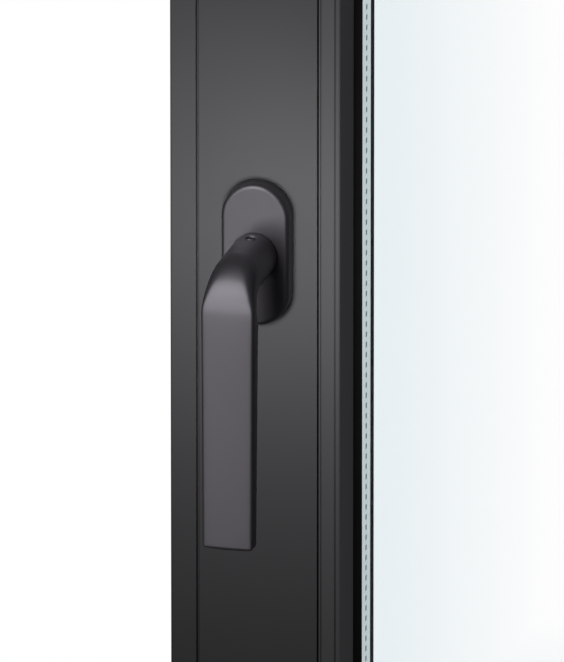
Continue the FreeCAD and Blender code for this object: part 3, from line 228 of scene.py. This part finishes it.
def brushed(name, color, roughness, streak=(30, 30, 900), metallic=1.0, change=0.25):
    # rolled or plated metal: long fine streaks and faint clouds
    material, tree, shader, make = startMaterial(name, {"Metallic": metallic})
    place = objectPlace(make)
    stretched = make("ShaderNodeMapping", {"Vector": place, "Scale": streak}).outputs[0]
    streaks = noise(make, stretched, 1.0, 4.0)
    mixed = maths(make, "ADD", streaks, noise(make, place, 60.0))
    tone = ranged(make, mixed, 0.6, 1.4, 1 - change, 1 + change * 0.4)
    tree.links.new(scaled(make, color, tone), shader.inputs["Base Color"])
    rough = ranged(make, mixed, 0.6, 1.4, roughness - 0.08, roughness + 0.1)
    tree.links.new(rough, shader.inputs["Roughness"])
    tree.links.new(bump(make, streaks, 0.15, 0.03 * mm), shader.inputs["Normal"])
    return material


def soft(name, color, roughness, grain=500.0, change=0.2, specular=0.3):
    # rubber, sealant or moulded plastic: matt with a slight bloom
    material, tree, shader, make = startMaterial(name, {"Specular IOR Level": specular})
    place = objectPlace(make)
    fine = noise(make, place, grain)
    mixed = maths(make, "ADD", fine, noise(make, place, 45.0, 4.0))
    tone = ranged(make, mixed, 0.6, 1.4, 1 - change, 1 + change)
    tree.links.new(scaled(make, color, tone), shader.inputs["Base Color"])
    rough = ranged(make, mixed, 0.6, 1.4, roughness - 0.08, roughness + 0.08)
    tree.links.new(rough, shader.inputs["Roughness"])
    tree.links.new(bump(make, fine, 0.2, 0.05 * mm), shader.inputs["Normal"])
    return material


spacerLook = {
    "color": (0.69, 0.715, 0.72, 1),
    # painted shade: the dark inside of each slot
    "slotShadeColor": (0.12, 0.14, 0.15, 1),
    "pitch": 5.1 * mm,
    "slotLength": 2.6 * mm,
    "slotWidth": 2.4 * mm,
}


def spacerMetal():
    # satin bar whose inner face has a row of fine slots for the drying beads; the slots are real, their dark
    # colour is painted shade inside each hole, with a bump
    look = spacerLook
    material, tree, shader, make = startMaterial("spacerMetal", {"Metallic": 0.35, "Roughness": 0.42})
    low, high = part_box("spacer_bar")
    place = objectPlace(make)
    parts = make("ShaderNodeSeparateXYZ", {"Vector": place}).outputs
    normal = make("ShaderNodeNewGeometry").outputs["Normal"]
    facing = make("ShaderNodeSeparateXYZ", {"Vector": normal}).outputs
    sideRun = maths(make, "GREATER_THAN", maths(make, "ABSOLUTE", facing["X"]), 0.7)
    along = make("ShaderNodeMix", {"Factor": sideRun, 2: parts["X"], 3: parts["Z"]}).outputs[0]
    share = maths(make, "FRACT", maths(make, "DIVIDE", along, look["pitch"]))
    inSlot = maths(make, "LESS_THAN", share, look["slotLength"] / look["pitch"])
    across = maths(make, "ABSOLUTE", maths(make, "SUBTRACT", parts["Y"], (low.y + high.y) / 2))
    slots = maths(make, "MULTIPLY", inSlot, maths(make, "LESS_THAN", across, look["slotWidth"] / 2))
    tone = ranged(make, noise(make, place, 700.0), 0.3, 0.7, 0.94, 1.04)
    # the slots' dark colour is painted shade, the hollow inside each slot
    color = colorMix(make, slots, scaled(make, look["color"], tone), look["slotShadeColor"])
    tree.links.new(color, shader.inputs["Base Color"])
    drop = maths(make, "SUBTRACT", 1.0, slots)
    tree.links.new(bump(make, drop, 0.6, 0.2 * mm), shader.inputs["Normal"])
    return material


glassLook = {
    # painted shade: the colour of the glass near the pane's edges
    "paintedEdgeShade": (0.89, 0.93, 0.945, 1),
    "middleTint": (1.0, 1.0, 1.0, 1),
    "fade": (8 * mm, 100 * mm),  # how far from the pane's edge the painted edge shade starts to fade, and ends
    "shadowTint": (0.92, 0.95, 0.95, 1),
}


def clearGlass():
    # float glass with painted shade: a little cooler and darker near its edges, where the frame closes the
    # light off, and clear in the middle
    fixed = {"Roughness": 0.0, "IOR": 1.3, "Transmission Weight": 1.0, "Specular IOR Level": 0.3}
    material, tree, shader, make = startMaterial("clearGlass", fixed)
    low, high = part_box("inner_pane")
    parts = make("ShaderNodeSeparateXYZ", {"Vector": objectPlace(make)}).outputs
    nearest = []
    for axis, lowEdge, highEdge in (("X", low.x, high.x), ("Z", low.z, high.z)):
        fromLow = maths(make, "SUBTRACT", parts[axis], lowEdge)
        fromHigh = maths(make, "SUBTRACT", highEdge, parts[axis])
        nearest.append(maths(make, "MINIMUM", fromLow, fromHigh))
    shadeFading = ranged(make, maths(make, "MINIMUM", *nearest), *glassLook["fade"], 0.0, 1.0)
    # painted shade: darker, cooler glass near the edges, fading to clear over the fade distance
    edgeShadedTint = colorMix(make, shadeFading, glassLook["paintedEdgeShade"], glassLook["middleTint"])
    tree.links.new(edgeShadedTint, shader.inputs["Base Color"])
    clear = make("ShaderNodeBsdfTransparent", {"Color": glassLook["shadowTint"]}).outputs[0]
    shadow = make("ShaderNodeLightPath").outputs["Is Shadow Ray"]
    mix = make("ShaderNodeMixShader", {0: shadow, 1: shader.outputs[0], 2: clear})
    tree.links.new(mix.outputs[0], tree.nodes["Material Output"].inputs["Surface"])
    return material


frameColor = (0.027, 0.027, 0.0285)
frameCoat = coat("anthracitePowderCoat", frameColor, 0.5, 1500.0, 0.22, 0.10, specular=0.25, mitre=True)
beadCoat = coat("anthraciteBeadCoat", frameColor, 0.46, 1500.0, 0.2, 0.10, specular=0.3, mitre=True)
leverCoat = coat("titanHandleLacquer", (0.18, 0.17, 0.19), 0.4, 2300.0, 0.3, 0.16, specular=0.5, metallic=0.8)
materials = {
    "frame_coat": frameCoat,
    "bead_coat": beadCoat,
    "lever_coat": leverCoat,
    "aluminium": brushed("sawnAluminium", (0.66, 0.67, 0.68), 0.38),
    "steel": brushed("zincPlatedSteel", (0.56, 0.56, 0.53), 0.34),
    "hardened_steel": brushed("blackenedSteel", (0.12, 0.12, 0.125), 0.36),
    "zinc": brushed("castZinc", (0.46, 0.46, 0.47), 0.5, streak=(200, 200, 200)),
    "gasket": soft("blackSealRubber", (0.0085, 0.0082, 0.0085), 0.55, specular=0.25),
    "glass": clearGlass(),
    "spacer": spacerMetal(),
    "polyamide": soft("blackPolyamide", (0.022, 0.022, 0.024), 0.5, grain=900.0),
    "nylon": soft("greyNylon", (0.09, 0.09, 0.09), 0.4),
    "sealant": soft("edgeSealant", (0.016, 0.02, 0.022), 0.6),
    "butyl": soft("butylTape", (0.045, 0.055, 0.06), 0.5),
    "beads_dry": soft("dryingBeads", (0.6, 0.55, 0.45), 0.7, grain=900.0, change=0.3),
    "block_plastic": soft("blueBlockPlastic", (0.05, 0.1, 0.3), 0.45),
    "cap_plastic": coat("hingeCapPlastic", (0.034, 0.034, 0.036), 0.5, 900.0, 0.2, 0.1),
}
for entry in frame["record"]["subparts"]:
    node = nodes[entry["node"]]
    node.data.materials.clear()
    node.data.materials.append(materials[entry["material_slot"]])
print("materials set on", len(nodes), "nodes")


leverLook = {
    "neckRadius": 11.2 * mm,
    "reach": 50.3 * mm,  # from the rosette's face to the grip's front
    "bendOuter": 25 * mm,
    "bendInner": 10 * mm,
    "gripWidth": 25.8 * mm,
    "gripEndWidth": 24.6 * mm,
    "gripThick": 10 * mm,
    "gripEndThick": 8.5 * mm,
    "corner": 1.5 * mm,
    "crown": 0.35 * mm,
    "drop": 131 * mm,
    "endArc": 0.6 * mm,
    "endRound": 2.0 * mm,
    "shankRadius": 9.0 * mm,
    "shankLength": 7.6 * mm,
    "holeGap": 0.05 * mm,  # the hole's radius past the grub screw's
    "chamfer": 1.5 * mm,
}


def ringPoint(index, halfWide, halfUp, corner, share, radius, crown):
    # one of twenty points: a circle at share 0, a rounded rectangle with a crowned front at share 1
    quarter, step = divmod(index, 5)
    turn = math.radians(18 * index)
    circle = Vector((math.cos(turn) * radius, math.sin(turn) * radius))
    signs = ((1, 1), (-1, 1), (-1, -1), (1, -1))[quarter]
    if step == 0:
        flat = Vector(((halfWide, 0), (0, halfUp), (-halfWide, 0), (0, -halfUp))[quarter])
    else:
        arc = math.radians((0, 2, 30, 60, 88)[step])
        wide, up = math.cos(arc), math.sin(arc)
        if quarter % 2:
            wide, up = up, wide
        flat = Vector((halfWide - corner + corner * wide, halfUp - corner + corner * up))
        flat = Vector((flat.x * signs[0], flat.y * signs[1]))
    if flat.y > 0:
        flat.y += crown * (1 - (flat.x / halfWide) ** 2)
    return circle.lerp(flat, share)


def leverStations():
    # each station: middle point, its up direction, half width, half height, corner, roundness
    look = leverLook
    frontY = rosetteFront - look["reach"]
    backY = frontY + look["gripThick"]
    outer = Vector((0, frontY + look["bendOuter"], axisZ + look["neckRadius"] - look["bendOuter"]))
    inner = Vector((0, backY + look["bendInner"], axisZ - look["neckRadius"] - look["bendInner"]))
    stations = []
    up = Vector((0, 0, 1))
    radius = look["neckRadius"]
    neckEnd = outer.y + 4 * mm
    for y in (rosetteFront + 1.5 * mm, rosetteFront - 2 * mm, (rosetteFront + neckEnd) / 2, neckEnd):
        stations.append((Vector((0, y, axisZ)), up, radius, radius, radius * 0.9, 0.0))
    count = 14
    for step in range(count + 1):
        share = step / count
        turn = share * math.pi / 2
        way = Vector((0, -math.sin(turn), math.cos(turn)))
        front, back = outer + way * look["bendOuter"], inner + way * look["bendInner"]
        direction = (front - back).normalized()
        half = (front - back).length / 2
        halfWide = radius + (look["gripWidth"] / 2 - radius) * math.sin(turn)
        roundness = min(1.0, max(0.0, (share - 0.05) / 0.85))
        corner = look["corner"] + (radius * 0.6 - look["corner"]) * (1 - roundness)
        stations.append(((front + back) / 2, direction, halfWide, half, corner, roundness))
    top, bottom = inner.z, axisZ - look["drop"]
    for share in (0.06, 0.2, 0.4, 0.6, 0.8, 0.94, 0.985):
        z = top + (bottom - top) * share
        thick = look["gripThick"] + (look["gripEndThick"] - look["gripThick"]) * share
        wide = look["gripWidth"] + (look["gripEndWidth"] - look["gripWidth"]) * share
        middle = Vector((0, frontY + thick / 2, z))
        slant = Vector((0, -1, 0.0))
        stations.append((middle, slant, wide / 2, thick / 2, look["corner"], 1.0))
    return stations


def placeRing(ring, station):
    middle, up, halfWide, halfUp, corner, share = station
    # a subdivided twenty-sided ring draws in slightly, so the round part starts a little larger
    radius = leverLook["neckRadius"] * (1.0 + 0.0165 * (1 - share))
    for index, vert in enumerate(ring):
        point = ringPoint(index, halfWide, halfUp, corner, share, radius, leverLook["crown"])
        vert.co = Vector((axisX, 0, 0)) + middle + Vector((1, 0, 0)) * point.x + up * point.y


def extrudeRing(bm, ring):
    edges = [bm.edges.get((ring[k], ring[(k + 1) % len(ring)])) for k in range(len(ring))]
    made = bmesh.ops.extrude_edge_only(bm, edges=edges)["geom"]
    fresh = [v for v in made if isinstance(v, bmesh.types.BMVert)]
    follow = []
    for vert in ring:
        follow.append(next(e.other_vert(vert) for e in vert.link_edges if e.other_vert(vert) in fresh))
    return follow


def makeLever():
    bm = bmesh.new()
    ring = bmesh.ops.create_circle(bm, segments=20, radius=0.01)["verts"]
    stations = leverStations()
    first = ring
    placeRing(ring, stations[0])
    for station in stations[1:]:
        ring = extrudeRing(bm, ring)
        placeRing(ring, station)
    # the closed end of the grip: a rounded edge onto a shallow arc
    bottom = axisZ - leverLook["drop"]
    half = leverLook["gripEndWidth"] / 2
    radius = leverLook["endRound"]
    for lift in (1.0, 0.55, 0.22, 0.0):
        ring = extrudeRing(bm, ring)
        placeRing(ring, stations[-1])
        middle = stations[-1][0]
        inset = radius - math.sqrt(radius ** 2 - (radius * (1 - lift)) ** 2) * 0.98
        for vert in ring:
            across = (vert.co.x - axisX) / half
            vert.co.x = axisX + (vert.co.x - axisX) * (1 - inset / half)
            vert.co.y = middle.y + (vert.co.y - middle.y) * (1 - inset / (leverLook["gripEndThick"] / 2))
            vert.co.z = bottom + lift * radius + leverLook["endArc"] * across * across
    bmesh.ops.contextual_create(bm, geom=ring)
    # the shank behind the rosette's face
    ring = first
    shank, back = leverLook["shankRadius"], rosetteFront + leverLook["shankLength"]
    for y, radius in (
        (rosetteFront + 0.5 * mm, shank + 0.2 * mm),
        (rosetteFront + 0.6 * mm, shank),
        (back, shank),
        (back + 0.02 * mm, shank - 0.1 * mm),
    ):
        ring = extrudeRing(bm, ring)
        for index, vert in enumerate(ring):
            turn = math.radians(18 * index)
            vert.co = Vector((axisX + math.cos(turn) * radius, y, axisZ + math.sin(turn) * radius))
    bmesh.ops.contextual_create(bm, geom=ring)
    lever = pieceFrom(bm, "leverBody", leverCoat, "lever_set")
    subdivide(lever, 2)
    applyModifiers(lever)
    return lever


def drillGrubHole(lever):
    # the chamfered hole on top of the neck that the grub screw goes down
    low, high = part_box("grub_screw")
    middle = (low + high) / 2
    bm = bmesh.new()
    radius, chamfer = (high.x - low.x) / 2, leverLook["chamfer"]
    wide = radius + leverLook["holeGap"]
    top = axisZ + leverLook["neckRadius"]
    for lowRadius, highRadius, depth, lift in (
        (wide, wide, 12 * mm, -4 * mm),
        (radius, radius + chamfer, chamfer, 0.1 * mm),
    ):
        place = Matrix.Translation((middle.x, middle.y, top + lift))
        bmesh.ops.create_cone(
            bm, cap_ends=True, segments=48, radius1=lowRadius, radius2=highRadius, depth=depth, matrix=place
        )
    mesh = bpy.data.meshes.new("holeCutter")
    bm.to_mesh(mesh)
    bm.free()
    cutter = bpy.data.objects.new("holeCutter", mesh)
    bpy.context.scene.collection.objects.link(cutter)
    cut = lever.modifiers.new("hole", "BOOLEAN")
    cut.operation = "DIFFERENCE"
    cut.object = cutter
    cut.solver = "EXACT"
    cut.use_self = True
    applyModifiers(lever)
    bpy.data.objects.remove(cutter)
    # the chamfer gets bare zinc in place of the lacquer: a lighter metal that stands in as painted highlight
    # for the chamfer's bright edge
    lever.data.materials.append(materials["zinc"])
    for polygon in lever.data.polygons:
        away = polygon.center - Vector((middle.x, middle.y, top))
        sloped = 0.4 < polygon.normal.z < 0.9 and away.to_2d().dot(polygon.normal.to_2d()) < 0
        if abs(away.z) < 1.5 * mm and away.to_2d().length < radius + 1.0 * mm and sloped:
            polygon.material_index = 1
    lever.data.set_sharp_from_angle(angle=math.radians(38))


rimHighlightLook = {"inset": 0.35 * mm, "thick": 0.2 * mm, "lift": 0.06 * mm}


def makeRimHighlight():
    # a thin ring of lighter zinc where the chamfer of the grub screw's hole meets the lacquer: a painted
    # highlight for the chamfer's bright rim
    low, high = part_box("grub_screw")
    middle = (low + high) / 2
    away, thick = (high.x - low.x) / 2 + rimHighlightLook["inset"], rimHighlightLook["thick"]
    bm = bmesh.new()
    place = Matrix.Translation((away, 0, 0)) @ Matrix.Rotation(math.pi / 2, 4, "X")
    circle = bmesh.ops.create_circle(bm, segments=8, radius=thick, matrix=place)
    geom = circle["verts"] + bm.edges[:]
    bmesh.ops.spin(bm, geom=geom, cent=(0, 0, 0), axis=(0, 0, 1), angle=math.tau, steps=48, use_merge=True)
    for vert in bm.verts:
        across = away * vert.co.x / vert.co.to_2d().length
        vert.co.z += math.sqrt(leverLook["neckRadius"] ** 2 - across ** 2)
    bmesh.ops.translate(bm, verts=bm.verts[:], vec=(middle.x, middle.y, axisZ + rimHighlightLook["lift"]))
    return pieceFrom(bm, "grubHoleRimHighlight", materials["zinc"], "lever_set")


lever = makeLever()
drillGrubHole(lever)
# a ring of lighter zinc as painted highlight at the grub screw's hole
rimHighlight = makeRimHighlight()
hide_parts("lever")
print("lever made,", len(lever.data.polygons), "faces")


studio = {
    "floorColor": (0.08, 0.08, 0.08, 1),
    "floorGlow": 1.0,
    "ambient": 0.035,  # what surfaces receive from all round
    "backdrop": 1.05,  # what the camera sees behind the object
}

# each lamp: what it lights, its place from the spindle or from the sash's middle, size and power
handleLamps = {
    # the bend, the flat faces and the rosette's rim mirror these
    "bendHighlight": ("handle", (-0.194, -0.64, 0.44), (0.5, 0.6), 2.4),
    "flatLight": ("handle", (-0.3, -1.14, -0.06), (0.6, 0.6), 2.75),
    "bendTop": ("handle", (-0.05, -0.25, 0.6), (0.3, 0.3), 0.12),
    # a small lamp close to the stile makes the pool of light round the handle
    "pool": ("sash", (0.005, -0.14, 0.0165), (0.05, 0.05), 0.86),
    "front": ("sash", (-0.4, -1.7, 0), (1.0, 1.0), 8.0),
    # low lamps from the right reach into the glazing's edge
    "beadSide": ("beadSide", (1.6, -0.45, 0.1), (0.4, 0.8), 25.0),
    "gasketSide": ("gasketSide", (1.6, -0.45, 0.1), (0.4, 0.8), 4.0),
    "spacerSide": ("spacerSide", (1.6, -0.45, 0.1), (0.4, 0.8), 44.0),
}
sashLamps = {
    # the sides away from the handle, and their hardware
    "farFront": ("far", (0.5, -1.9, 0.5), (1.0, 1.0), 10.0),
    "farTop": ("far", (0.9, -0.7, 1.7), (1.2, 1.2), 16.0),
    # the outdoor side and the edges
    "backFill": ("behind", (0.4, 2.2, 0.9), (1.6, 1.6), 30.0),
    "rightFill": ("behind", (1.6, 1.1, 0.4), (1.0, 1.2), 12.0),
    "leftFill": ("behind", (-1.6, 1.1, 0.4), (1.0, 1.2), 12.0),
}
notMirrored = ("pool", "beadSide", "gasketSide", "spacerSide")
shadedLamps = ("pool", "front")  # only the rosette and the bead cast shadows from these


def collectionOf(name, chosen):
    made = bpy.data.collections.new(name)
    for thing in chosen:
        made.objects.link(thing)
    return made


def litCollections():
    handleNames = ("lever", "rosette_cover", "rosette_base", "rosette_screws")
    handleNames += ("neck_bush", "grub_screw", "spindle")
    roomNames = ("left_bead", "right_bead", "top_bead", "bottom_bead", "inner_glazing_gasket")
    handleSide = ("left_stile_inner", "left_stile_outer", "left_bead", "inner_glazing_gasket", "spacer_bar")
    handleSide += ("inner_butyl", "outer_butyl", "edge_sealant", "desiccant_fill", "thermal_breaks")
    sash = [n for n in nodes.values() if n.name not in handleNames and not n.name.endswith("_pane")]
    chosen = {
        "handle": [nodes[n] for n in handleNames] + [lever, rimHighlight],
        "sash": sash,
        "behind": [n for n in sash if n.name not in roomNames],
        "beadSide": [nodes["left_bead"]],
        "gasketSide": [nodes["inner_glazing_gasket"]],
        "spacerSide": [nodes[n] for n in ("spacer_bar", "inner_butyl", "outer_butyl")],
        "far": [n for n in sash if n.name not in handleSide],
    }
    return {name: collectionOf(name + "Lit", things) for name, things in chosen.items()}


def softLight(name, target, place, size, power, onto, blockers):
    data = bpy.data.lights.new(name, "AREA")
    data.shape = "RECTANGLE"
    data.size, data.size_y = size
    data.energy = power
    lamp = bpy.data.objects.new(name, data)
    bpy.context.scene.collection.objects.link(lamp)
    lamp.location = place
    lamp.rotation_euler = (target - place).to_track_quat("-Z", "Y").to_euler()
    lamp.visible_glossy = name not in notMirrored
    lamp.visible_transmission = False
    lamp.light_linking.receiver_collection = onto
    if name in shadedLamps:
        lamp.light_linking.blocker_collection = blockers


def makeLights():
    lit = litCollections()
    blockers = collectionOf("sashBlocked", [nodes["rosette_cover"], nodes["left_bead"]])
    handle = Vector((axisX, rosetteFront, axisZ))
    middle = (sashLow + sashHigh) / 2
    for start, lamps in ((handle, handleLamps), (middle, sashLamps)):
        for name, (onto, offset, size, power) in lamps.items():
            place = start + Vector(offset)
            target = Vector((place.x, start.y, place.z)) if name == "pool" else start
            softLight(name, target, place, size, power, lit[onto], blockers)


def makeFloor():
    bm = bmesh.new()
    bmesh.ops.create_grid(bm, x_segments=1, y_segments=1, size=60)
    bmesh.ops.translate(bm, verts=bm.verts[:], vec=(0, 0, cadBox[0][2]))
    mesh = bpy.data.meshes.new("studioFloor")
    bm.to_mesh(mesh)
    bm.free()
    floor = bpy.data.objects.new("studioFloor", mesh)
    bpy.context.scene.collection.objects.link(floor)
    material, tree, shader, make = startMaterial("paleFloor", {"Roughness": 0.9, "Specular IOR Level": 0.0})
    shader.inputs["Base Color"].default_value = studio["floorColor"]
    shader.inputs["Emission Color"].default_value = (1, 1, 1, 1)
    shader.inputs["Emission Strength"].default_value = studio["floorGlow"]
    mesh.materials.append(material)
    floor.visible_diffuse = False
    floor.visible_glossy = False
    floor.visible_transmission = False


def makeWorld():
    world = bpy.data.worlds.new("studio")
    bpy.context.scene.world = world
    world.use_nodes = True
    tree = world.node_tree
    make = nodeMaker(tree)
    ground = tree.nodes["Background"]
    ground.inputs["Color"].default_value = (1, 1, 1, 1)
    path = make("ShaderNodeLightPath").outputs
    # a ray that has bounced off a surface sees the dim studio, even through the glass
    bounces = maths(make, "ADD", path["Diffuse Depth"], path["Glossy Depth"])
    direct = maths(make, "LESS_THAN", bounces, 0.5)
    through = maths(make, "MULTIPLY", path["Is Transmission Ray"], direct)
    seen = maths(make, "MAXIMUM", path["Is Camera Ray"], through)
    strength = ranged(make, seen, 0.0, 1.0, studio["ambient"], studio["backdrop"])
    tree.links.new(strength, ground.inputs["Strength"])


cameraView = {
    "azimuth": 14.85,  # degrees to the right of the sash's normal
    "elevation": 18.9,
    "heightSeen": 662 / 2120,  # metres from the view's bottom to its top, at the rosette
    "distance": 10.0,
    "aside": 27.5 / 2120,  # how far right of the spindle and below it the view's middle lies
    "below": 75.4 / 2120,
}


def makeCamera():
    look = cameraView
    azimuth, elevation = math.radians(look["azimuth"]), math.radians(look["elevation"])
    level = math.cos(elevation)
    back = Vector((math.sin(azimuth) * level, -math.cos(azimuth) * level, math.sin(elevation)))
    right = Vector((math.cos(azimuth), math.sin(azimuth), 0))
    up = back.cross(right)
    aim = Vector((axisX, rosetteFront, axisZ)) + right * look["aside"] - up * look["below"]
    data = bpy.data.cameras.new("camera")
    data.lens = data.sensor_width * look["distance"] / look["heightSeen"]
    data.clip_end = 200
    data.dof.use_dof = False
    camera = bpy.data.objects.new("camera", data)
    bpy.context.scene.collection.objects.link(camera)
    turn = Matrix((right, up, back)).transposed().to_4x4()
    camera.matrix_world = Matrix.Translation(aim + back * look["distance"]) @ turn
    bpy.context.scene.camera = camera


makeFloor()
makeWorld()
makeLights()
makeCamera()
bpy.context.scene.view_settings.view_transform = "Standard"
print("studio ready")
